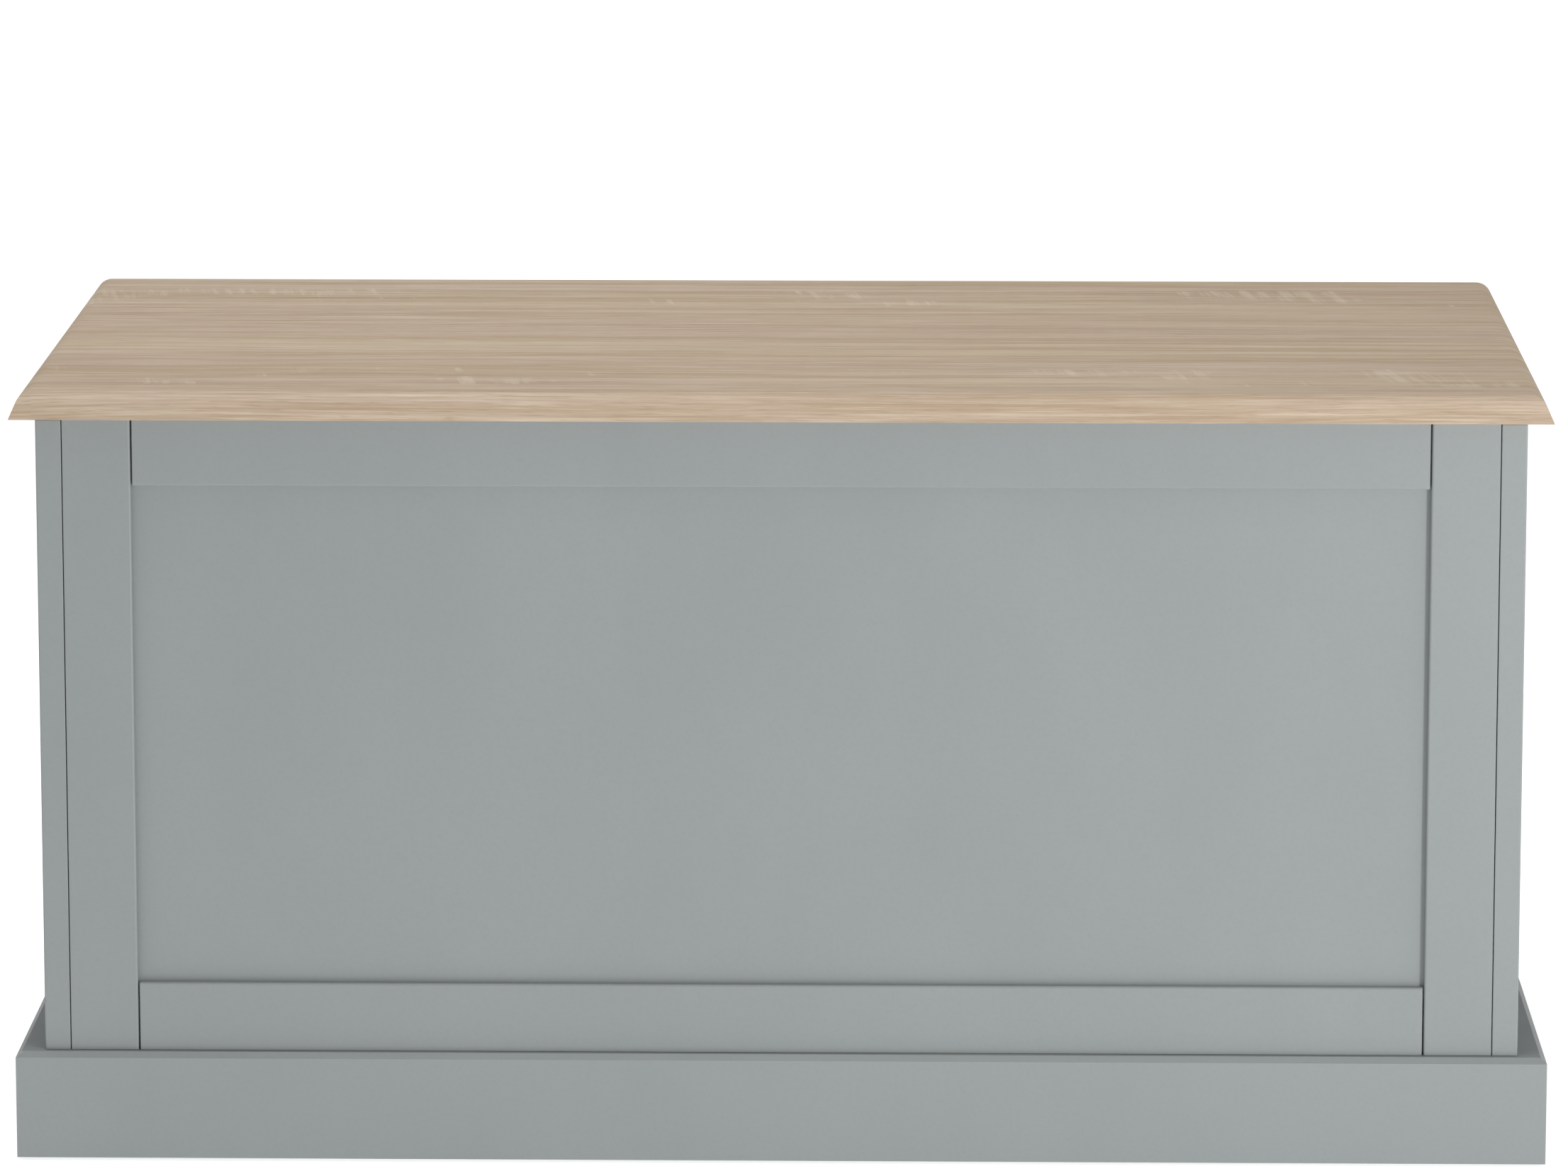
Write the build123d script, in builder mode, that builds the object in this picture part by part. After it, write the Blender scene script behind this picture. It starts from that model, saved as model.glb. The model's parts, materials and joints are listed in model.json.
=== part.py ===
"""Wooden toy box: a painted panelled chest with a hinged oak-faced lid and two slow-closing lid stays.

Millimetres, +Z up, +X to the right, the front faces -Y.
The origin is the middle of the overall box, on the floor.
"""

import math
import os

from build123d import *

os.makedirs("parts", exist_ok=True)

# ---------------------------------------------------------------- driving sizes
# Lid
lid_width = 900.0
lid_depth = 450.0
lid_thickness = 16.0
lid_side_overhang = 15.0
lid_front_overhang = 7.0
lid_gap = 1.0
lid_slope_in = 4.4
lid_slope_rise = 10.2
lid_round_in = 9.1
lid_round_bulge = 1.6

# Carcass
carcass_height = 442.0
glide_height = 2.0
side_board = 15.0
front_board = 15.0
back_board = 15.0
base_board = 12.0
panel_recess = 5.0
joint_gap = 0.5
rail_end_gap = 0.9
outer_edge_round = 1.0
seam_edge_round = 0.5
top_edge_round = 0.8
frame_edge_round = 1.4

# Front frame
stile_width = 40.0
top_rail_height = 39.0
bottom_rail_height = 41.0

# Plinth
plinth_height = 64.0
plinth_side_board = 17.0
plinth_front_proud = 7.0
plinth_bevel_in = 3.5
plinth_bevel_down = 3.3
plinth_edge_round = 0.5

# Base support
cleat_size = 18.0
bearer_thickness = 15.0

# Back panel vents
vent_radius = 15.0
vent_spacing = 240.0
vent_below_top = 75.0

# Knock-down fittings
dowel_radius = 4.0
dowel_in_side = 10.0
dowel_in_end = 20.0
dowel_bottom_inset = 108.0
dowel_top_inset = 28.0
cam_bottom_inset = 148.0
cam_top_inset = 63.0
cam_radius = 7.5
cam_depth = 12.5
cam_setback = 24.0
cam_mouth_radius = 3.6
cam_cross_length = 9.0
cam_cross_width = 1.6
cam_cross_depth = 2.0
bolt_thread_radius = 2.5
bolt_thread_length = 11.0
bolt_shank_radius = 3.0
bolt_channel_radius = 3.5

# Wood screws
screw_recess_width = 0.9
screw_recess_share = 0.62
screw_recess_depth_share = 0.7
cleat_screw_shank = 2.0
cleat_screw_head = 4.0
cleat_screw_length = 28.0
plinth_screw_shank = 2.0
plinth_screw_head = 4.0
plinth_screw_length = 25.0
screw_end_inset = 60.0

# Floor glides
glide_radius = 7.0
glide_nail_radius = 1.2
glide_nail_length = 12.0
glide_inset = 30.0

# Lid bumpers
bumper_radius = 5.0
bumper_air = 0.2
bumper_front_inset = 30.0

# Hinges
hinge_offsets = (-300.0, 0.0, 300.0)
hinge_length = 70.0
hinge_leaf = 0.8
hinge_leaf_depth = 14.0
hinge_mortise_play = 0.1
hinge_back_offset = 3.0
knuckle_radius = 2.5
knuckle_count = 5
knuckle_play = 0.2
hinge_pin_radius = 1.25
hinge_pin_play = 0.05
hinge_pin_head_radius = 2.2
hinge_pin_head_height = 1.2
hinge_screw_shank = 1.6
hinge_screw_head = 3.1
hinge_screw_length = 12.0
hinge_screw_spacing = 24.0
hinge_screw_setback = 6.0

# Lid stays: the arm is parallel to the line from the hinge axis to the lid pivot, and the link is
# parallel to the line from the hinge axis to the housing's spindle, so the four pivots are a parallelogram.
stay_lid_forward = 110.0
stay_lid_drop = 14.0
stay_body_forward = 62.0
stay_body_drop = 66.0
stay_flange_thickness = 3.0
stay_flange_length = 80.0
stay_flange_height = 32.0
stay_flange_corner = 8.0
stay_drum_radius = 16.0
stay_drum_height = 14.0
stay_drum_round = 2.0
stay_screw_spacing = 58.0
stay_screw_shank = 2.0
stay_screw_head = 3.8
stay_screw_length = 15.0
stay_plate = 2.5
stay_plate_width = 14.0
stay_plate_air = 0.4
stay_plate_round = 0.4
spindle_radius = 4.0
spindle_head_radius = 6.5
spindle_head_height = 1.6
pivot_radius = 3.0
pivot_head_radius = 5.0
pivot_head_height = 1.5
pivot_play = 0.05
bracket_plate = 2.0
bracket_length = 46.0
bracket_tab_width = 18.0
bracket_screw_shank = 1.8
bracket_screw_head = 3.4
bracket_screw_length = 13.0
bracket_screw_spacing = 32.0

# ---------------------------------------------------------------- places worked out from the sizes
half_lid = lid_width / 2
side_outer = half_lid - lid_side_overhang
side_inner = side_outer - side_board
side_middle = (side_outer + side_inner) / 2

overall_depth = lid_depth + hinge_back_offset + knuckle_radius
lid_front = -overall_depth / 2
lid_back = lid_front + lid_depth
body_front = lid_front + lid_front_overhang
panel_front = body_front + panel_recess
panel_back = panel_front + front_board
back_inner = lid_back - back_board
plinth_front_face = body_front - plinth_front_proud
inner_middle = (back_inner + panel_back) / 2

floor_side = glide_height
body_top = glide_height + carcass_height
lid_under = body_top + lid_gap
lid_top = lid_under + lid_thickness
plinth_top = glide_height + plinth_height
frame_bottom = plinth_top + joint_gap / 2
stile_outer = side_inner - joint_gap
stile_inner = stile_outer - stile_width
rail_half = stile_inner - rail_end_gap
base_under = plinth_top
base_top = base_under + base_board

hinge_y = lid_back + hinge_back_offset
hinge_z = body_top + lid_gap / 2
hinge_leaf_front = lid_back - hinge_leaf_depth
hinge_mortise_half = hinge_length / 2 + hinge_mortise_play
knuckle_length = hinge_length / knuckle_count


# ---------------------------------------------------------------- helpers
def make_board(low, high):
    """A plain board between two opposite corners."""
    with BuildPart() as made:
        with BuildSketch(Plane.XY.offset(low[2])):
            with Locations(((low[0] + high[0]) / 2, (low[1] + high[1]) / 2)):
                Rectangle(high[0] - low[0], high[1] - low[1])
        extrude(amount=high[2] - low[2])
    return made.part


def make_screws(seats, shank_radius, head_radius, length, recessed):
    """Countersunk screws. Each seat's origin is the middle of a head and its Z points out of the wood."""
    head_height = head_radius - shank_radius
    tip_height = shank_radius
    with BuildPart() as one:
        with BuildSketch(Plane.XZ):
            with BuildLine():
                Polyline(
                    (0, 0),
                    (head_radius, 0),
                    (shank_radius, -head_height),
                    (shank_radius, tip_height - length),
                    (0, -length),
                    close=True,
                )
            make_face()
        revolve(axis=Axis.Z)
        if recessed:
            cross = 2 * head_radius * screw_recess_share
            with BuildSketch(Plane.XY):
                Rectangle(cross, screw_recess_width)
                Rectangle(screw_recess_width, cross)
            extrude(amount=-head_height * screw_recess_depth_share, mode=Mode.SUBTRACT)
    with BuildPart() as made:
        with Locations(*seats):
            add(one.part)
    return made.part


def make_rods(seats, radius, length):
    """Round rods. Each seat's origin is the middle of one end and its Z points along the rod."""
    with BuildPart() as made:
        with Locations(*seats):
            Cylinder(radius, length, align=(Align.CENTER, Align.CENTER, Align.MIN))
    return made.part


def seat(x, y, z, towards):
    """A plane at a point, with its Z along one of the frame's directions."""
    return Plane(origin=(x, y, z), z_dir=towards)


def finish(shape, name):
    """Labels one piece and writes it."""
    shape.label = name
    export_step(shape, f"parts/{name}.step")


# ---------------------------------------------------------------- knock-down fittings of the corners
# (sign of the side, the cross panel's middle Y, its inner face's Y, the direction into the box)
corners = [
    (sign, middle, face, inward)
    for sign in (-1, 1)
    for middle, face, inward in (
        ((panel_front + panel_back) / 2, panel_back, 1),
        ((back_inner + lid_back) / 2, back_inner, -1),
    )
]

dowel_length = dowel_in_side + dowel_in_end
lowest_dowel = floor_side + dowel_bottom_inset
highest_dowel = body_top - dowel_top_inset
dowel_heights = (lowest_dowel, (lowest_dowel + highest_dowel) / 2, highest_dowel)
cam_heights = (floor_side + cam_bottom_inset, body_top - cam_top_inset)
dowel_seats = [
    seat(sign * (side_inner - dowel_in_end), middle, z, (sign, 0, 0))
    for sign, middle, face, inward in corners
    for z in dowel_heights
]
corner_dowels = make_rods(dowel_seats, dowel_radius, dowel_length)

cam_seats = [
    seat(sign * (side_inner - cam_setback), face, z, (0, inward, 0))
    for sign, middle, face, inward in corners
    for z in cam_heights
]
cam_pockets = make_rods(
    [seat(p.origin.X, p.origin.Y - p.z_dir.Y * cam_depth, p.origin.Z, p.z_dir) for p in cam_seats],
    cam_radius,
    cam_depth,
)
bolt_seats = [
    seat(sign * (side_inner - cam_setback), middle, z, (sign, 0, 0))
    for sign, middle, face, inward in corners
    for z in cam_heights
]
bolt_channels = make_rods(bolt_seats, bolt_channel_radius, cam_setback)
bolt_shanks = make_rods(bolt_seats, bolt_shank_radius, cam_setback)
bolt_threads = make_rods(
    [seat(math.copysign(side_inner, p.origin.X), p.origin.Y, p.origin.Z, p.z_dir) for p in bolt_seats],
    bolt_thread_radius,
    bolt_thread_length,
)

with BuildPart() as cam_bolts:
    add(bolt_shanks)
    add(bolt_threads)

with BuildPart() as cam_discs:
    add(cam_pockets)
    with Locations(*bolt_seats):
        Cylinder(
            cam_mouth_radius,
            cam_radius * 2,
            align=(Align.CENTER, Align.CENTER, Align.MIN),
            mode=Mode.SUBTRACT,
        )
        Sphere(cam_mouth_radius, mode=Mode.SUBTRACT)
    with Locations(*cam_seats):
        Box(cam_cross_length, cam_cross_width, cam_cross_depth * 2, mode=Mode.SUBTRACT)
        Box(cam_cross_width, cam_cross_length, cam_cross_depth * 2, mode=Mode.SUBTRACT)

# ---------------------------------------------------------------- floor glides
glide_seats = [
    seat(sign * side_middle, y, floor_side, (0, 0, 1))
    for sign in (-1, 1)
    for y in (panel_front + glide_inset, inner_middle, lid_back - glide_inset)
]
glide_nails = make_rods(glide_seats, glide_nail_radius, glide_nail_length)
with BuildPart() as floor_glides:
    with Locations(*glide_seats):
        Cylinder(glide_radius, glide_height, align=(Align.CENTER, Align.CENTER, Align.MAX))
    fillet(floor_glides.faces().sort_by(Axis.Z)[0:len(glide_seats)].edges(), glide_height / 2)
    add(glide_nails)

# ---------------------------------------------------------------- screws of the cleats and the plinth
cleat_z = base_under - cleat_size / 2
cleat_reach = side_inner - cleat_size
cleat_end_screw = cleat_reach - screw_end_inset
cleat_middle_screw = cleat_reach / 3
cross_cleat_seats = [
    seat(x, y - towards * cleat_size, cleat_z, (0, -towards, 0))
    for y, towards in ((panel_back, -1), (back_inner, 1))
    for x in (-cleat_end_screw, -cleat_middle_screw, cleat_middle_screw, cleat_end_screw)
]
side_cleat_seats = [
    seat(sign * cleat_reach, y, cleat_z, (-sign, 0, 0))
    for sign in (-1, 1)
    for y in (panel_back + screw_end_inset, inner_middle, back_inner - screw_end_inset)
]
cleat_seats = cross_cleat_seats + side_cleat_seats
cleat_screw_sizes = (cleat_screw_shank, cleat_screw_head, cleat_screw_length)
cleat_screw_holes = make_screws(cleat_seats, *cleat_screw_sizes, False)
cleat_screws = make_screws(cleat_seats, *cleat_screw_sizes, True)

plinth_screw_z = glide_height + plinth_height / 3
plinth_seats = [
    seat(x, panel_back, plinth_screw_z, (0, 1, 0))
    for x in (-side_inner + screw_end_inset, -side_inner / 3, side_inner / 3, side_inner - screw_end_inset)
] + [
    seat(sign * side_inner, y, plinth_screw_z, (-sign, 0, 0))
    for sign in (-1, 1)
    for y in (panel_back + screw_end_inset, inner_middle, back_inner - screw_end_inset)
]
plinth_screw_sizes = (plinth_screw_shank, plinth_screw_head, plinth_screw_length)
plinth_screw_holes = make_screws(plinth_seats, *plinth_screw_sizes, False)
plinth_screws = make_screws(plinth_seats, *plinth_screw_sizes, True)

# ---------------------------------------------------------------- screws of the hinges and the stays
hinge_screw_y = lid_back - hinge_screw_setback - hinge_back_offset / 2
hinge_screw_xs = [
    middle + step * hinge_screw_spacing for middle in hinge_offsets for step in (-1, 0, 1)
]
hinge_screw_sizes = (hinge_screw_shank, hinge_screw_head, hinge_screw_length)
hinge_body_seats = [seat(x, hinge_screw_y, body_top, (0, 0, 1)) for x in hinge_screw_xs]
hinge_lid_seats = [seat(x, hinge_screw_y, lid_under - hinge_leaf, (0, 0, -1)) for x in hinge_screw_xs]
hinge_body_holes = make_screws(hinge_body_seats, *hinge_screw_sizes, False)
hinge_body_screws = make_screws(hinge_body_seats, *hinge_screw_sizes, True)
hinge_lid_holes = make_screws(hinge_lid_seats, *hinge_screw_sizes, False)
hinge_lid_screws = make_screws(hinge_lid_seats, *hinge_screw_sizes, True)

stay_body_y = hinge_y - stay_body_forward
stay_body_z = hinge_z - stay_body_drop
stay_lid_y = hinge_y - stay_lid_forward
stay_lid_z = hinge_z - stay_lid_drop
stay_elbow_y = stay_body_y - stay_lid_forward
stay_elbow_z = stay_body_z - stay_lid_drop
arm_near = stay_drum_height + stay_plate_air
arm_far = arm_near + stay_plate
link_near = arm_far + stay_plate_air
link_far = link_near + stay_plate
bracket_screw_in = arm_near / 2

stay_seats = [
    seat(sign * (side_inner - stay_flange_thickness), stay_body_y + step, stay_body_z, (-sign, 0, 0))
    for sign in (-1, 1)
    for step in (-stay_screw_spacing / 2, stay_screw_spacing / 2)
]
stay_screw_sizes = (stay_screw_shank, stay_screw_head, stay_screw_length)
stay_screw_holes = make_screws(stay_seats, *stay_screw_sizes, False)
stay_housing_screws = make_screws(stay_seats, *stay_screw_sizes, True)

bracket_seats = [
    seat(sign * (side_inner - bracket_screw_in), stay_lid_y + step, lid_under - bracket_plate, (0, 0, -1))
    for sign in (-1, 1)
    for step in (-bracket_screw_spacing / 2, bracket_screw_spacing / 2)
]
bracket_screw_sizes = (bracket_screw_shank, bracket_screw_head, bracket_screw_length)
bracket_holes = make_screws(bracket_seats, *bracket_screw_sizes, False)
stay_bracket_screws = make_screws(bracket_seats, *bracket_screw_sizes, True)


# ---------------------------------------------------------------- the four upright panels
def make_side_panel(sign):
    """A full-height side, notched at the front foot for the plinth's front board."""
    with BuildPart() as made:
        with BuildSketch(Plane.YZ.offset(sign * side_inner)):
            with BuildLine():
                Polyline(
                    (panel_front, floor_side),
                    (lid_back, floor_side),
                    (lid_back, body_top),
                    (body_front, body_top),
                    (body_front, frame_bottom),
                    (panel_front, frame_bottom),
                    close=True,
                )
            make_face()
        extrude(amount=sign * side_board)
        front_edges = made.faces().sort_by(Axis.Y)[0].edges()
        outermost = front_edges.filter_by(Axis.Z).sort_by(Axis.X)[-1 if sign > 0 else 0]
        innermost = front_edges.filter_by(Axis.Z).sort_by(Axis.X)[0 if sign > 0 else -1]
        fillet(outermost, outer_edge_round)
        fillet(innermost, seam_edge_round)
        rear_edges = made.faces().sort_by(Axis.Y)[-1].edges().filter_by(Axis.Z).sort_by(Axis.X)
        fillet(rear_edges[-1 if sign > 0 else 0], outer_edge_round)
        top_edges = made.faces().sort_by(Axis.Z)[-1].edges().filter_by(Axis.Y)
        fillet(top_edges, top_edge_round)
        for holes in (corner_dowels, bolt_threads, glide_nails):
            add(holes, mode=Mode.SUBTRACT)
        for holes in (cleat_screw_holes, plinth_screw_holes, stay_screw_holes):
            add(holes, mode=Mode.SUBTRACT)
    return made.part


left_side_panel = make_side_panel(-1)
right_side_panel = make_side_panel(1)

with BuildPart() as front_panel:
    add(make_board((-side_inner, panel_front, floor_side), (side_inner, panel_back, body_top)))
    fillet(front_panel.faces().sort_by(Axis.Y)[-1].edges().sort_by(Axis.Z)[-1], top_edge_round)
    for holes in (corner_dowels, cam_pockets, bolt_channels, cleat_screw_holes, plinth_screw_holes):
        add(holes, mode=Mode.SUBTRACT)

with BuildPart() as back_panel:
    add(make_board((-side_inner, back_inner, floor_side), (side_inner, lid_back, body_top)))
    fillet(back_panel.faces().sort_by(Axis.Y)[0].edges().sort_by(Axis.Z)[-1], top_edge_round)
    for holes in (corner_dowels, cam_pockets, bolt_channels, cleat_screw_holes, hinge_body_holes):
        add(holes, mode=Mode.SUBTRACT)
    for middle in hinge_offsets:
        low = (middle - hinge_mortise_half, hinge_leaf_front - hinge_mortise_play, body_top - hinge_leaf)
        high = (middle + hinge_mortise_half, lid_back, body_top)
        add(make_board(low, high), mode=Mode.SUBTRACT)
    with BuildSketch(Plane.XZ.offset(-lid_back)):
        with Locations(*((step * vent_spacing, body_top - vent_below_top) for step in (-0.5, 0.5))):
            Circle(vent_radius)
    extrude(amount=back_board, mode=Mode.SUBTRACT)

# ---------------------------------------------------------------- base, cleats and bearer
base_panel = make_board((-side_inner, panel_back, base_under), (side_inner, back_inner, base_top))

with BuildPart() as front_base_cleat:
    low = (-side_inner, panel_back, base_under - cleat_size)
    high = (side_inner, panel_back + cleat_size, base_under)
    add(make_board(low, high))
    add(cleat_screw_holes, mode=Mode.SUBTRACT)

with BuildPart() as back_base_cleat:
    low = (-side_inner, back_inner - cleat_size, base_under - cleat_size)
    high = (side_inner, back_inner, base_under)
    add(make_board(low, high))
    add(cleat_screw_holes, mode=Mode.SUBTRACT)


def make_side_cleat(sign):
    """A short cleat between the front and back cleats, on one side panel."""
    near, far = sorted((sign * cleat_reach, sign * side_inner))
    with BuildPart() as made:
        low = (near, panel_back + cleat_size, base_under - cleat_size)
        high = (far, back_inner - cleat_size, base_under)
        add(make_board(low, high))
        add(cleat_screw_holes, mode=Mode.SUBTRACT)
    return made.part


left_base_cleat = make_side_cleat(-1)
right_base_cleat = make_side_cleat(1)
base_centre_bearer = make_board(
    (-bearer_thickness / 2, panel_back + cleat_size, floor_side),
    (bearer_thickness / 2, back_inner - cleat_size, base_under),
)


# ---------------------------------------------------------------- front frame
def make_stile(sign):
    """An upright of the front frame, with eased front edges."""
    near, far = sorted((sign * stile_inner, sign * stile_outer))
    with BuildPart() as made:
        add(make_board((near, body_front, frame_bottom), (far, panel_front, body_top)))
        uprights = made.faces().sort_by(Axis.Y)[0].edges().filter_by(Axis.Z).sort_by(Axis.X)
        field_edge, seam_edge = (uprights[0], uprights[-1]) if sign > 0 else (uprights[-1], uprights[0])
        fillet(field_edge, frame_edge_round)
        fillet(seam_edge, seam_edge_round)
    return made.part


def make_rail(bottom, top, field_side):
    """A cross piece of the front frame. field_side is the index of its edge beside the recessed field."""
    with BuildPart() as made:
        add(make_board((-rail_half, body_front, bottom), (rail_half, panel_front, top)))
        face_edges = made.faces().sort_by(Axis.Y)[0].edges()
        fillet(face_edges.filter_by(Axis.X).sort_by(Axis.Z)[field_side], frame_edge_round)
        end_edges = made.faces().sort_by(Axis.Y)[0].edges().filter_by(Axis.Z)
        fillet(end_edges, seam_edge_round)
    return made.part


front_left_stile = make_stile(-1)
front_right_stile = make_stile(1)
front_top_rail = make_rail(body_top - top_rail_height, body_top, 0)
front_bottom_rail = make_rail(frame_bottom, plinth_top + bottom_rail_height, -1)

# ---------------------------------------------------------------- plinth
plinth_outer = side_outer + plinth_side_board
plinth_front_board = panel_front - plinth_front_face


def plinth_profile(outer, inner):
    """The section of a plinth board, as points across and up, with its top outer edge bevelled."""
    step = math.copysign(plinth_bevel_in, inner - outer)
    return (
        (outer, floor_side),
        (inner, floor_side),
        (inner, plinth_top),
        (outer + step, plinth_top),
        (outer, plinth_top - plinth_bevel_down),
    )


def mitre_wedge(sign):
    """The plan area in front of one corner's mitre line, which belongs to the front board."""
    outer = (sign * plinth_outer, plinth_front_face)
    inner = (sign * side_outer, panel_front)
    return outer, inner


with BuildPart() as plinth_front:
    with BuildSketch(Plane.YZ.offset(-plinth_outer)):
        with BuildLine():
            Polyline(*plinth_profile(plinth_front_face, panel_front), close=True)
        make_face()
    extrude(amount=2 * plinth_outer)
    top_edges = plinth_front.edges().filter_by(Axis.X).group_by(Axis.Z)[-1].sort_by(Axis.Y)
    fillet(top_edges[0], plinth_edge_round)
    with BuildSketch(Plane.XY.offset(floor_side)):
        with BuildLine():
            Polyline(*mitre_wedge(-1), *reversed(mitre_wedge(1)), close=True)
        make_face()
    extrude(amount=plinth_height, mode=Mode.INTERSECT)
    add(plinth_screw_holes, mode=Mode.SUBTRACT)


def make_plinth_side(sign):
    """A side board of the plinth, mitred to the front board and square at the back."""
    outer, inner = mitre_wedge(sign)
    with BuildPart() as made:
        with BuildSketch(Plane.XZ.offset(-lid_back)):
            with BuildLine():
                Polyline(*plinth_profile(sign * plinth_outer, sign * side_outer), close=True)
            make_face()
        extrude(amount=lid_back - plinth_front_face)
        top_edges = made.edges().filter_by(Axis.Y).group_by(Axis.Z)[-1].sort_by(Axis.X)
        fillet(top_edges[-1 if sign > 0 else 0], plinth_edge_round)
        with BuildSketch(Plane.XY.offset(floor_side)):
            with BuildLine():
                Polyline(outer, inner, (inner[0], lid_back), (outer[0], lid_back), close=True)
            make_face()
        extrude(amount=plinth_height, mode=Mode.INTERSECT)
        add(plinth_screw_holes, mode=Mode.SUBTRACT)
    return made.part


plinth_left = make_plinth_side(-1)
plinth_right = make_plinth_side(1)


# ---------------------------------------------------------------- hinges
def make_hinge_leaf(middle, z_low, first_knuckle):
    """One leaf with every other knuckle, from first_knuckle on, bored for the pin."""
    with BuildPart() as made:
        add(
            make_board(
                (middle - hinge_length / 2, hinge_leaf_front, z_low),
                (middle + hinge_length / 2, lid_back, z_low + hinge_leaf),
            )
        )
        for index in range(first_knuckle, knuckle_count, 2):
            start = middle - hinge_length / 2 + index * knuckle_length + knuckle_play / 2
            end = start + knuckle_length - knuckle_play
            add(make_board((start, lid_back, z_low), (end, hinge_y, z_low + hinge_leaf)))
            with BuildSketch(Plane.YZ.offset(start)):
                with Locations((hinge_y, hinge_z)):
                    Circle(knuckle_radius)
            extrude(amount=end - start)
        with BuildSketch(Plane.YZ.offset(middle - hinge_length / 2)):
            with Locations((hinge_y, hinge_z)):
                Circle(hinge_pin_radius + hinge_pin_play)
        extrude(amount=hinge_length, mode=Mode.SUBTRACT)
    return made.part


def make_hinge_pin(middle):
    """A hinge pin with a low round head at each end."""
    with BuildPart() as made:
        with BuildSketch(Plane.YZ.offset(middle - hinge_length / 2)):
            with Locations((hinge_y, hinge_z)):
                Circle(hinge_pin_radius)
        extrude(amount=hinge_length)
        for sign in (-1, 1):
            with BuildSketch(Plane.YZ.offset(middle + sign * hinge_length / 2)):
                with Locations((hinge_y, hinge_z)):
                    Circle(hinge_pin_head_radius)
            extrude(amount=sign * hinge_pin_head_height)
        ends = made.faces().filter_by(Axis.X).sort_by(Axis.X)
        fillet([ends[0].edges()[0], ends[-1].edges()[0]], hinge_pin_head_height / 2)
    return made.part


hinge_names = ("left", "centre", "right")
for name, middle in zip(hinge_names, hinge_offsets):
    with BuildPart() as hinge_body_leaf:
        add(make_hinge_leaf(middle, body_top - hinge_leaf, 0))
        add(hinge_body_holes, mode=Mode.SUBTRACT)
    with BuildPart() as hinge_lid_leaf:
        add(make_hinge_leaf(middle, lid_under - hinge_leaf, 1))
        add(hinge_lid_holes, mode=Mode.SUBTRACT)
    finish(hinge_body_leaf.part, f"{name}_hinge_body_leaf")
    finish(hinge_lid_leaf.part, f"{name}_hinge_lid_leaf")
    finish(make_hinge_pin(middle), f"{name}_hinge_pin")

# ---------------------------------------------------------------- lid


def lid_edge(start, direction):
    """Points of a moulded edge from the lid's underside: slope, then a round-over to the flat top."""
    across = lid_round_in
    up = lid_thickness - lid_slope_rise
    chord = math.hypot(across, up)
    knee = (start + direction * lid_slope_in, lid_under + lid_slope_rise)
    bulge = (
        knee[0] + direction * (across / 2 - lid_round_bulge * up / chord),
        knee[1] + up / 2 + lid_round_bulge * across / chord,
    )
    flat = (knee[0] + direction * across, lid_top)
    return (start, lid_under), knee, bulge, flat


with BuildPart() as lid:
    with BuildSketch(Plane.YZ.offset(-half_lid)):
        toe, knee, bulge, flat = lid_edge(lid_front, 1)
        with BuildLine():
            Line(toe, knee)
            ThreePointArc(knee, bulge, flat)
            Polyline(flat, (lid_back, lid_top), (lid_back, lid_under), toe)
        make_face()
    extrude(amount=lid_width)
    with BuildSketch(Plane.XZ.offset(-lid_back)):
        left_toe, left_knee, left_bulge, left_flat = lid_edge(-half_lid, 1)
        right_toe, right_knee, right_bulge, right_flat = lid_edge(half_lid, -1)
        with BuildLine():
            Line(left_toe, left_knee)
            ThreePointArc(left_knee, left_bulge, left_flat)
            Line(left_flat, right_flat)
            ThreePointArc(right_flat, right_bulge, right_knee)
            Polyline(right_knee, right_toe, left_toe)
        make_face()
    extrude(amount=lid_depth, mode=Mode.INTERSECT)
    add(hinge_lid_holes, mode=Mode.SUBTRACT)
    add(bracket_holes, mode=Mode.SUBTRACT)

bumper_seats = [
    seat(sign * side_middle, y, lid_under, (0, 0, -1))
    for sign in (-1, 1)
    for y in (body_front + bumper_front_inset, inner_middle)
]
lid_bumpers = make_rods(bumper_seats, bumper_radius, lid_gap - bumper_air)


# ---------------------------------------------------------------- lid stays
def make_plate(sign, near, start, end, start_hole, end_hole):
    """A flat bar with round ends between two pivots, held off the side panel by the distance near."""
    length = math.dist(start, end)
    tilt = math.degrees(math.atan2(end[1] - start[1], end[0] - start[0]))
    middle = ((start[0] + end[0]) / 2, (start[1] + end[1]) / 2)
    with BuildPart() as made:
        with BuildSketch(Plane.YZ.offset(sign * (side_inner - near))):
            with Locations(middle):
                SlotCenterToCenter(length, stay_plate_width, rotation=tilt)
            with Locations(start):
                Circle(start_hole, mode=Mode.SUBTRACT)
            with Locations(end):
                Circle(end_hole, mode=Mode.SUBTRACT)
        extrude(amount=-sign * stay_plate)
        outer_faces = made.faces().filter_by(Axis.X)
        rims = [face.outer_wire().edges() for face in outer_faces]
        fillet([edge for rim in rims for edge in rim], stay_plate_round)
    return made.part


def make_headed_pin(sign, near, far, y, z, radius, head_radius, head_height):
    """A pin along X with a rounded head on its end towards the middle of the box."""
    with BuildPart() as made:
        with BuildSketch(Plane.YZ.offset(sign * (side_inner - near))):
            with Locations((y, z)):
                Circle(radius)
        extrude(amount=-sign * (far - near))
        with BuildSketch(Plane.YZ.offset(sign * (side_inner - far))):
            with Locations((y, z)):
                Circle(head_radius)
        extrude(amount=-sign * head_height)
        end_face = made.faces().filter_by(Axis.X).sort_by(Axis.X)[0 if sign > 0 else -1]
        fillet(end_face.edges(), head_height / 2)
    return made.part


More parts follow.
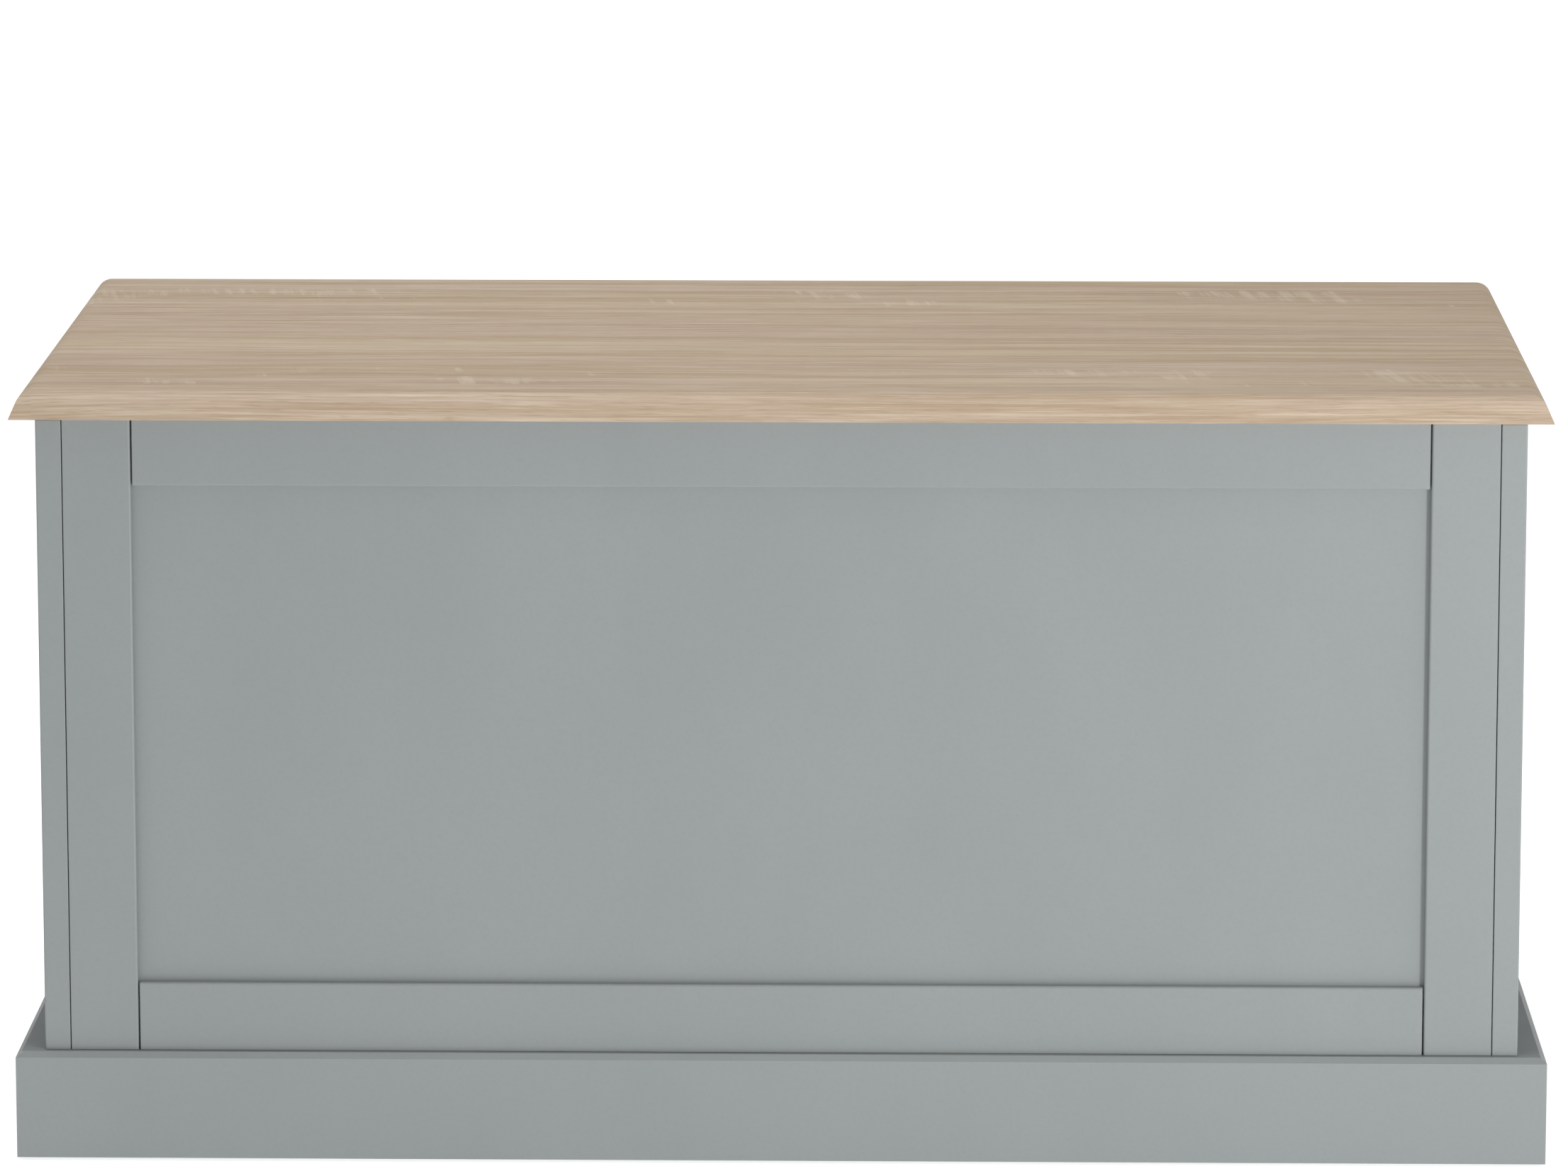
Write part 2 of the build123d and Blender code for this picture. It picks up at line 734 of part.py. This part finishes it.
def make_stay_housing(sign):
    """A damper drum on a screwed flange, on the inner face of a side panel."""
    with BuildPart() as made:
        with BuildSketch(Plane.YZ.offset(sign * side_inner)):
            with Locations((stay_body_y, stay_body_z)):
                RectangleRounded(stay_flange_length, stay_flange_height, stay_flange_corner)
        extrude(amount=-sign * stay_flange_thickness)
        with BuildSketch(Plane.YZ.offset(sign * side_inner)):
            with Locations((stay_body_y, stay_body_z)):
                Circle(stay_drum_radius)
        extrude(amount=-sign * stay_drum_height)
        drum_face = made.faces().filter_by(Axis.X).sort_by(Axis.X)[0 if sign > 0 else -1]
        fillet(drum_face.edges(), stay_drum_round)
        add(stay_screw_holes, mode=Mode.SUBTRACT)
        with BuildSketch(Plane.YZ.offset(sign * side_inner)):
            with Locations((stay_body_y, stay_body_z)):
                Circle(spindle_radius)
        extrude(amount=-sign * stay_drum_height, mode=Mode.SUBTRACT)
    return made.part


def make_lid_bracket(sign):
    """A steel angle under the lid: a screwed flange, and a tab that holds the link's pin."""
    tab_round = bracket_tab_width / 2
    with BuildPart() as made:
        near, far = sorted((sign * side_inner, sign * (side_inner - arm_far)))
        low = (near, stay_lid_y - bracket_length / 2, lid_under - bracket_plate)
        high = (far, stay_lid_y + bracket_length / 2, lid_under)
        add(make_board(low, high))
        with BuildSketch(Plane.YZ.offset(sign * (side_inner - arm_near))):
            with Locations((stay_lid_y, stay_lid_z)):
                Circle(tab_round)
            with Locations((stay_lid_y, (stay_lid_z + lid_under) / 2)):
                Rectangle(bracket_tab_width, lid_under - stay_lid_z)
        extrude(amount=-sign * stay_plate)
        with BuildSketch(Plane.YZ.offset(sign * (side_inner - arm_near))):
            with Locations((stay_lid_y, stay_lid_z)):
                Circle(pivot_radius)
        extrude(amount=-sign * stay_plate, mode=Mode.SUBTRACT)
        add(bracket_holes, mode=Mode.SUBTRACT)
    return made.part


body_pivot = (stay_body_y, stay_body_z)
elbow_pivot = (stay_elbow_y, stay_elbow_z)
lid_pivot = (stay_lid_y, stay_lid_z)
spindle_hole = spindle_radius + pivot_play
eye_hole = pivot_radius + pivot_play
for name, sign in (("left", -1), ("right", 1)):
    stay_arm = make_plate(sign, arm_near, body_pivot, elbow_pivot, spindle_hole, pivot_radius)
    stay_link = make_plate(sign, link_near, elbow_pivot, lid_pivot, eye_hole, eye_hole)
    spindle_far = arm_far + pivot_play
    pin_far = link_far + pivot_play
    spindle = make_headed_pin(
        sign, 0.0, spindle_far, *body_pivot, spindle_radius, spindle_head_radius, spindle_head_height
    )
    elbow_rivet = make_headed_pin(
        sign, arm_near, pin_far, *elbow_pivot, pivot_radius, pivot_head_radius, pivot_head_height
    )
    lid_pin = make_headed_pin(
        sign, arm_near, pin_far, *lid_pivot, pivot_radius, pivot_head_radius, pivot_head_height
    )
    finish(make_stay_housing(sign), f"{name}_stay_housing")
    finish(spindle, f"{name}_stay_spindle")
    finish(stay_arm, f"{name}_stay_arm")
    finish(elbow_rivet, f"{name}_stay_elbow_rivet")
    finish(stay_link, f"{name}_stay_link")
    finish(make_lid_bracket(sign), f"{name}_stay_lid_bracket")
    finish(lid_pin, f"{name}_stay_lid_pin")

# ---------------------------------------------------------------- the rest of the pieces
finish(left_side_panel, "left_side_panel")
finish(right_side_panel, "right_side_panel")
finish(front_panel.part, "front_panel")
finish(back_panel.part, "back_panel")
finish(base_panel, "base_panel")
finish(front_base_cleat.part, "front_base_cleat")
finish(back_base_cleat.part, "back_base_cleat")
finish(left_base_cleat, "left_base_cleat")
finish(right_base_cleat, "right_base_cleat")
finish(base_centre_bearer, "base_centre_bearer")
finish(front_left_stile, "front_left_stile")
finish(front_right_stile, "front_right_stile")
finish(front_top_rail, "front_top_rail")
finish(front_bottom_rail, "front_bottom_rail")
finish(plinth_front.part, "plinth_front")
finish(plinth_left, "plinth_left")
finish(plinth_right, "plinth_right")
finish(corner_dowels, "corner_dowels")
finish(cam_bolts.part, "cam_bolts")
finish(cam_discs.part, "cam_discs")
finish(cleat_screws, "cleat_screws")
finish(plinth_screws, "plinth_screws")
finish(floor_glides.part, "floor_glides")
finish(hinge_body_screws, "hinge_body_screws")
finish(hinge_lid_screws, "hinge_lid_screws")
finish(stay_housing_screws, "stay_housing_screws")
finish(stay_bracket_screws, "stay_bracket_screws")
finish(lid.part, "lid")
finish(lid_bumpers, "lid_bumpers")
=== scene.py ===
"""Looks of the wooden toy box: finishes of its boards, fittings and lid stays, the studio and the camera."""

import math

import bpy
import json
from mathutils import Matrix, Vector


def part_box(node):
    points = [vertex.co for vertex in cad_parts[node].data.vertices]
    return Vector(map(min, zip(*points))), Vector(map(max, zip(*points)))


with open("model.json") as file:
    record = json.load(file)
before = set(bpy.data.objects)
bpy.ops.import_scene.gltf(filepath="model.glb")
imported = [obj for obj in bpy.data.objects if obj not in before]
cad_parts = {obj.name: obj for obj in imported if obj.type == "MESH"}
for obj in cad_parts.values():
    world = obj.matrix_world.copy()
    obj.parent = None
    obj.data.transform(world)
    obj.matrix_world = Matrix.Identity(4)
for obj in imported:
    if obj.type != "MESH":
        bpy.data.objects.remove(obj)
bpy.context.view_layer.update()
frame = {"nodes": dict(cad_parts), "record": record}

MM = 0.001
QUARTER = math.pi / 2

# ---------------------------------------------------------------- places, in metres
lid_low, lid_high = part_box("lid")
# How far the moulded edge reaches in from the lid's outline.
lid_edge_in = 13.5 * MM
# How much further the foil's pattern runs for each metre that the edge goes down.
foil_take_up = 0.7
# The back edge is plain: only what lies this near to it counts as its face.
back_face_depth = 0.05 * MM
# How far in front of the lid's middle, and behind it, a row of flecks runs.
fleck_row = 155 * MM
# How far from the row's line the flecks have died out, and how far they are still full.
fleck_row_fades = 55 * MM
fleck_row_full = 25 * MM
fleck_slant = math.radians(-9.0)
# How far the growth lines wander over the length of the lid.
grain_wander = 14 * MM
# How wide a band along each arris gets the painted highlight.
arris_highlight_width = 1.2 * MM
# Where the timber's pith runs, against the object's own origin.
pith_offset = (0.0, 31 * MM, 47 * MM)
# A ring pattern of scale 1 repeats at this many metres.
ring_repeat = 0.314


def linear(hex_colour):
    """An sRGB hex colour as linear RGBA."""
    parts = [int(hex_colour[i : i + 2], 16) / 255 for i in (1, 3, 5)]
    return [c / 12.92 if c <= 0.04045 else ((c + 0.055) / 1.055) ** 2.4 for c in parts] + [1.0]


def add_node(tree, kind, links=(), out=0, **settings):
    """Adds a node and returns one output. links gives its inputs in order, or by number or name."""
    node = tree.nodes.new("ShaderNode" + kind)
    for name, value in settings.items():
        setattr(node, name, value)
    for key, value in links.items() if isinstance(links, dict) else enumerate(links):
        if isinstance(value, bpy.types.NodeSocket):
            tree.links.new(value, node.inputs[key])
        else:
            node.inputs[key].default_value = value
    return node.outputs[out]


def start_material(name, shader_values):
    """A new material, its shader's own values set, and the point in the object's coordinates."""
    material = bpy.data.materials.new(name)
    material.use_nodes = True
    tree = material.node_tree
    shader = tree.nodes["Principled BSDF"]
    for key, value in shader_values.items():
        shader.inputs[key].default_value = value
    return material, tree, shader, add_node(tree, "TexCoord", out="Object")


def grain(tree, point, per_metre, detail=2.0, rough=0.5):
    """A cloudy pattern with its own count of clouds a metre along each axis."""
    stretched = add_node(tree, "VectorMath", (point, per_metre), operation="MULTIPLY")
    return add_node(
        tree, "TexNoise", {"Vector": stretched, "Scale": 1.0, "Detail": detail, "Roughness": rough}
    )


def glaze(tree, colour, pattern, low, high, most, hex_colour):
    """Lays a colour over another where the pattern goes from low to high, at most by the share most."""
    share = add_node(tree, "MapRange", (pattern, low, high, 0.0, most), interpolation_type="SMOOTHSTEP")
    over = {0: share, 6: colour, 7: linear(hex_colour)}
    return add_node(tree, "Mix", over, out=2, data_type="RGBA")


def dress(tree, shader, colour, pattern, smoothest, roughest, relief, depth):
    """Joins the colour, a roughness that follows the pattern, and a relief of that depth to the shader."""
    roughness = add_node(tree, "MapRange", (pattern, 0.3, 0.7, smoothest, roughest))
    normal = add_node(tree, "Bump", {"Height": relief, "Distance": depth})
    tree.links.new(colour, shader.inputs["Base Color"])
    tree.links.new(roughness, shader.inputs["Roughness"])
    tree.links.new(normal, shader.inputs["Normal"])


# ---------------------------------------------------------------- finishes
def oak_foil():
    """Oak-effect foil: printed, lightly embossed, and drawn over the lid's moulded front and side edges.

    To the eye it is pale greyed tan in long streaks, with thin dark lines and patches of pale sawn flecks.
    """
    material, tree, shader, point = start_material(
        "oak_effect_foil", {"IOR": 1.46, "Specular IOR Level": 0.2}
    )
    axes = add_node(tree, "SeparateXYZ", (point,)).node
    x, y, z = axes.outputs
    drop = add_node(tree, "Math", (lid_high.z, z), operation="SUBTRACT")
    at_front = add_node(tree, "Math", (y, lid_low.y + lid_edge_in), operation="LESS_THAN")
    at_back = add_node(tree, "Math", (y, lid_high.y - back_face_depth), operation="GREATER_THAN")
    off_centre = add_node(tree, "Math", (x,), operation="ABSOLUTE")
    at_side = add_node(tree, "Math", (off_centre, lid_high.x - lid_edge_in), operation="GREATER_THAN")
    front_fold = add_node(tree, "Math", (at_front, -foil_take_up, at_back), operation="MULTIPLY_ADD")
    across = add_node(tree, "Math", (drop, front_fold, y), operation="MULTIPLY_ADD")
    side = add_node(tree, "Math", (x,), operation="SIGN")
    side_fold = add_node(tree, "Math", (side, at_side), operation="MULTIPLY")
    folded = add_node(tree, "Math", (drop, side_fold), operation="MULTIPLY")
    along = add_node(tree, "Math", (folded, foil_take_up, x), operation="MULTIPLY_ADD")
    flat = add_node(tree, "CombineXYZ", (along, across))

    wander = grain(tree, flat, (1.8, 9.0, 1.0), 2.0)
    strayed = add_node(tree, "Math", (wander, grain_wander, across), operation="MULTIPLY_ADD")
    bent = add_node(tree, "CombineXYZ", (along, strayed))

    planks = grain(tree, bent, (0.5, 12.0, 1.0), 1.0)
    bands = grain(tree, bent, (1.1, 44.0, 1.0), 3.0, 0.65)
    streaks = grain(tree, bent, (3.0, 130.0, 1.0), 4.0, 0.75)
    dashes = grain(tree, bent, (9.0, 330.0, 1.0), 3.0, 0.7)
    fibre = grain(tree, bent, (11.0, 800.0, 1.0), 3.0, 0.7)
    lines = grain(tree, bent, (4.0, 130.0, 1.0), 3.0, 0.6)
    pores = grain(tree, bent, (60.0, 1600.0, 1.0), 1.0)
    colour = glaze(tree, linear("#B4A291"), planks, 0.38, 0.62, 1.0, "#B8A891")
    colour = glaze(tree, colour, bands, 0.35, 0.65, 1.0, "#A8947D")
    colour = glaze(tree, colour, streaks, 0.48, 0.75, 0.5, "#CCBEAB")
    colour = glaze(tree, colour, streaks, 0.52, 0.25, 0.5, "#978067")
    colour = glaze(tree, colour, dashes, 0.5, 0.72, 0.4, "#CDBFAC")
    colour = glaze(tree, colour, dashes, 0.5, 0.28, 0.4, "#978068")
    colour = glaze(tree, colour, fibre, 0.5, 0.72, 0.42, "#CFC1AE")
    colour = glaze(tree, colour, fibre, 0.5, 0.28, 0.42, "#917B62")
    # Narrow dark lines, a hundred to three hundred millimetres long, where the late wood is dense.
    colour = glaze(tree, colour, lines, 0.6, 0.76, 0.45, "#8A7357")

    # Pale sawn flecks across the grain: a few millimetres wide, tens long, in two rows of loose patches.
    tilt = add_node(tree, "Mapping", {"Vector": bent, "Rotation": (0.0, 0.0, fleck_slant)})
    sawn = grain(tree, tilt, (130.0, 9.0, 1.0), 3.0, 0.6)
    in_row = add_node(tree, "Math", (strayed, fleck_row), operation="PINGPONG")
    patches = grain(tree, flat, (7.0, 9.0, 1.0), 3.0, 0.6)
    row_edge = (in_row, fleck_row - fleck_row_fades, fleck_row - fleck_row_full)
    share = add_node(tree, "MapRange", row_edge, interpolation_type="SMOOTHSTEP")
    for pattern, low, high in ((patches, 0.36, 0.6), (fibre, -0.1, 0.5)):
        mask = add_node(tree, "MapRange", (pattern, low, high), interpolation_type="SMOOTHSTEP")
        share = add_node(tree, "Math", (share, mask), operation="MULTIPLY")
    flecks = add_node(tree, "Math", (sawn, share), operation="MULTIPLY")
    colour = glaze(tree, colour, flecks, 0.42, 0.62, 0.28, "#D6CCBC")
    # Short dark pores, which only a close look shows.
    colour = glaze(tree, colour, pores, 0.6, 0.72, 0.35, "#86714F")
    pits = add_node(tree, "MapRange", (pores, 0.55, 0.72, 1.0, 0.0))
    relief = add_node(tree, "Math", (fibre, pits), operation="ADD")
    dress(tree, shader, colour, streaks, 0.58, 0.7, relief, 0.05 * MM)
    return material


def painted_board():
    """Satin water-based paint on fibreboard, put on with a small roller.

    To the eye it is an even greyed sage with a faint stipple, with a painted highlight along the arrises.
    """
    material, tree, shader, point = start_material(
        "satin_painted_fibreboard", {"IOR": 1.5, "Specular IOR Level": 0.45}
    )
    broad = grain(tree, point, (9.0, 9.0, 7.0), 3.0)
    rolled = grain(tree, point, (24.0, 24.0, 7.0), 3.0)
    # The real stipple is under a millimetre; it is drawn at 2.5 mm so that it shows at all.
    stipple = grain(tree, point, (400.0, 400.0, 400.0), 2.0, 0.6)
    colour = glaze(tree, linear("#838888"), broad, 0.3, 0.7, 1.0, "#858A8A")
    colour = glaze(tree, colour, rolled, 0.4, 0.7, 0.18, "#888E8D")
    colour = glaze(tree, colour, stipple, 0.4, 0.75, 0.14, "#787E7E")
    # A painted highlight: a paler colour wherever the rounded normal turns away from the flat one, along
    # every arris.
    rounded = add_node(tree, "Bevel", (arris_highlight_width,), samples=6)
    plain = add_node(tree, "NewGeometry", out="Normal")
    arris_highlight_dot = add_node(tree, "VectorMath", (rounded, plain), out="Value", operation="DOT_PRODUCT")
    colour = glaze(tree, colour, arris_highlight_dot, 0.99, 0.8, 0.35, "#959997")
    dress(tree, shader, colour, rolled, 0.42, 0.5, stipple, 0.03 * MM)
    return material


def melamine_board():
    """Grey melamine facing on particle board, pressed with a pearl texture that breaks up its shine."""
    material, tree, shader, point = start_material(
        "melamine_faced_board", {"IOR": 1.5, "Specular IOR Level": 0.45}
    )
    broad = grain(tree, point, (12.0, 12.0, 12.0), 3.0)
    pearl = grain(tree, point, (650.0, 650.0, 650.0), 1.0)
    colour = glaze(tree, linear("#A0A5A4"), broad, 0.3, 0.7, 1.0, "#A7ACAA")
    colour = glaze(tree, colour, pearl, 0.4, 0.7, 0.25, "#8E9493")
    dress(tree, shader, colour, pearl, 0.38, 0.5, pearl, 0.04 * MM)
    return material


def planed_wood(name, turn, ring_width, early, late, fibre_dark, fleck_dark):
    """Planed, unfinished timber with its grain along X, or turned to another axis.

    Growth rings are cut lengthwise, so they show as long tapering bands with fine fibre and flecks between.
    """
    material, tree, shader, point = start_material(name, {"IOR": 1.5, "Specular IOR Level": 0.35})
    turned = add_node(tree, "Mapping", {"Vector": point, "Rotation": turn})
    # The pith lies outside the piece, so only the rings' outer arcs cross it.
    from_pith = add_node(tree, "VectorMath", (turned, pith_offset), operation="ADD")
    rings = add_node(
        tree,
        "TexWave",
        {"Vector": from_pith, "Scale": ring_repeat / ring_width, "Distortion": 3.0, "Detail Scale": 0.05},
        out="Fac",
        wave_type="RINGS",
        wave_profile="SAW",
    )
    broad = grain(tree, turned, (3.0, 40.0, 40.0), 2.0)
    fibre = grain(tree, turned, (14.0, 700.0, 700.0), 2.0, 0.6)
    flecks = grain(tree, turned, (90.0, 900.0, 900.0), 1.0)
    colour = glaze(tree, linear(early), rings, 0.2, 1.0, 1.0, late)
    colour = glaze(tree, colour, broad, 0.35, 0.7, 0.5, late)
    colour = glaze(tree, colour, fibre, 0.5, 0.75, 0.45, fibre_dark)
    colour = glaze(tree, colour, flecks, 0.62, 0.74, 0.5, fleck_dark)
    dress(tree, shader, colour, fibre, 0.55, 0.72, fibre, 0.08 * MM)
    return material


def metal(name, base, clouded, smoothest, marks_per_metre, depth):
    """Bare or plated metal: softly clouded, with fine tool marks whose direction shows in the gloss."""
    material, tree, shader, point = start_material(name, {"Metallic": 1.0})
    cloud = grain(tree, point, (60.0, 60.0, 60.0), 3.0)
    marks = grain(tree, point, marks_per_metre, 3.0, 0.6)
    colour = glaze(tree, linear(base), cloud, 0.3, 0.7, 1.0, clouded)
    colour = glaze(tree, colour, marks, 0.5, 0.8, 0.3, "#7C7C7A")
    dress(tree, shader, colour, marks, smoothest, smoothest + 0.14, marks, depth)
    return material


def moulded(name, base, clouded, smoothest, grit_size, depth):
    """Injection-moulded plastic, matt from the spark-eroded grit of its mould."""
    material, tree, shader, point = start_material(name, {"IOR": 1.5, "Specular IOR Level": 0.5})
    cloud = grain(tree, point, (50.0, 50.0, 50.0), 3.0)
    grit = grain(tree, point, [1 / grit_size] * 3, 2.0)
    colour = glaze(tree, linear(base), cloud, 0.3, 0.7, 1.0, clouded)
    dress(tree, shader, colour, grit, smoothest, smoothest + 0.15, grit, depth)
    return material


def pressed_felt():
    """Grey wool felt, pressed: a matt tangle of short fibres that catches light at its edge."""
    material, tree, shader, point = start_material(
        "pressed_wool_felt", {"Sheen Weight": 0.4, "Sheen Roughness": 0.5, "Specular IOR Level": 0.2}
    )
    fibre = grain(tree, point, (2400.0, 2400.0, 2400.0), 3.0, 0.7)
    colour = glaze(tree, linear("#4A4B4B"), fibre, 0.3, 0.7, 1.0, "#777876")
    dress(tree, shader, colour, fibre, 0.9, 1.0, fibre, 0.25 * MM)
    return material


pine = ("#DDC093", "#D3AE78", "#B98D56", "#A67845")
beech = ("#D9B48A", "#CFA577", "#B4875A", "#9A6B40")
along_x = (0.0, 0.0, 0.0)
along_y = (0.0, 0.0, -QUARTER)
pine_across_the_box = planed_wood("planed_pine_long", along_x, 4 * MM, *pine)
finishes = {
    "painted_board": painted_board(),
    "oak_foil": oak_foil(),
    "melamine_board": melamine_board(),
    "softwood": planed_wood("planed_pine_short", along_y, 4 * MM, *pine),
    "beech": planed_wood("turned_beech", along_x, 2 * MM, *beech),
    "zinc_casting": metal("zinc_die_casting", "#BEBFBD", "#B0B2B1", 0.42, (500.0, 500.0, 500.0), 0.05 * MM),
    "zinc_steel": metal("bright_zinc_plate", "#DADCDC", "#CDD1D4", 0.24, (300.0, 300.0, 300.0), 0.01 * MM),
    "hinge_steel": metal("satin_nickel_leaf", "#DEDAD3", "#D2CEC7", 0.3, (30.0, 1500.0, 1500.0), 0.01 * MM),
    "stay_steel": metal("satin_nickel_strip", "#DEDAD3", "#D2CEC7", 0.3, (900.0, 120.0, 120.0), 0.01 * MM),
    "damper_plastic": moulded("moulded_polyamide", "#57595A", "#5E6061", 0.5, 0.6 * MM, 0.05 * MM),
    "glide_plastic": moulded("moulded_polythene", "#CFCFCB", "#C5C5C0", 0.4, 1.2 * MM, 0.02 * MM),
    "felt": pressed_felt(),
}
long_cleats = ("front_base_cleat", "back_base_cleat")
for part in frame["record"]["subparts"]:
    finish = pine_across_the_box if part["node"] in long_cleats else finishes[part["material_slot"]]
    for place in frame["nodes"][part["node"]].material_slots:
        place.material = finish

# ---------------------------------------------------------------- studio
bpy.ops.object.select_all(action="DESELECT")
bpy.ops.mesh.primitive_plane_add(size=60.0)
floor = bpy.context.active_object
floor.name = "studio_floor"
# Matt white paper over a light table: it is lit a little from below, which keeps shadows faint.
paper_values = {"Specular IOR Level": 0.1, "Emission Color": (1.0, 1.0, 1.0, 1.0), "Emission Strength": 0.6}
paper, tree, shader, point = start_material("matt_white_paper", paper_values)
tooth = grain(tree, point, (180.0, 180.0, 180.0), 2.0)
colour = glaze(tree, linear("#F7F7F7"), tooth, 0.3, 0.7, 1.0, "#FBFBFB")
dress(tree, shader, colour, tooth, 0.85, 0.95, tooth, 0.05 * MM)
floor.data.materials.append(paper)

# A white tent, a little dimmer above and in front, where it opens for the camera.
world = bpy.data.worlds.new("light_tent")
world.use_nodes = True
tree = world.node_tree
tent = tree.nodes["Background"]
tent.inputs["Color"].default_value = (1.0, 1.0, 1.0, 1.0)
direction = add_node(tree, "TexCoord", out="Generated")
to_opening = (0.0, -0.5, 0.866)
nearness = add_node(tree, "VectorMath", (direction, to_opening), out="Value", operation="DOT_PRODUCT")
strength = add_node(tree, "MapRange", (nearness, 0.4, 0.95, 0.48, 0.44), interpolation_type="SMOOTHSTEP")
tree.links.new(strength, tent.inputs["Strength"])
bpy.context.scene.world = world

# name, place, what it faces, width, height, watts
soft_boxes = (
    ("front_right_lamp", (1.6, -2.2, 0.45), (0.0, 0.0, 0.25), 0.35, 0.35, 31.0),
    ("overhead_soft_box", (-0.2, -0.1, 2.1), (-0.05, -0.05, 0.46), 1.4, 0.8, 20.0),
)
for name, place, aim, width, height, watts in soft_boxes:
    light = bpy.data.lights.new(name, "AREA")
    light.shape = "RECTANGLE"
    light.size = width
    light.size_y = height
    light.energy = watts
    soft_box = bpy.data.objects.new(name, light)
    bpy.context.scene.collection.objects.link(soft_box)
    soft_box.location = place
    right, away, up = (end - start for start, end in zip(place, aim))
    soft_box.rotation_euler = (math.atan2(math.hypot(right, away), -up), 0.0, math.atan2(-right, away))

# ---------------------------------------------------------------- camera
camera_place = (0.08049, -4.51044, 1.16975)
camera_look_down = 0.17085
camera_turn_left = 0.01823
lens = bpy.data.cameras.new("camera")
lens.sensor_width = 36.0
lens.lens = 171.55
lens.shift_y = -0.0902
camera = bpy.data.objects.new("camera", lens)
bpy.context.scene.collection.objects.link(camera)
camera.location = camera_place
camera.rotation_euler = (QUARTER - camera_look_down, 0.0, camera_turn_left)
bpy.context.scene.camera = camera
bpy.context.scene.view_settings.view_transform = "Standard"
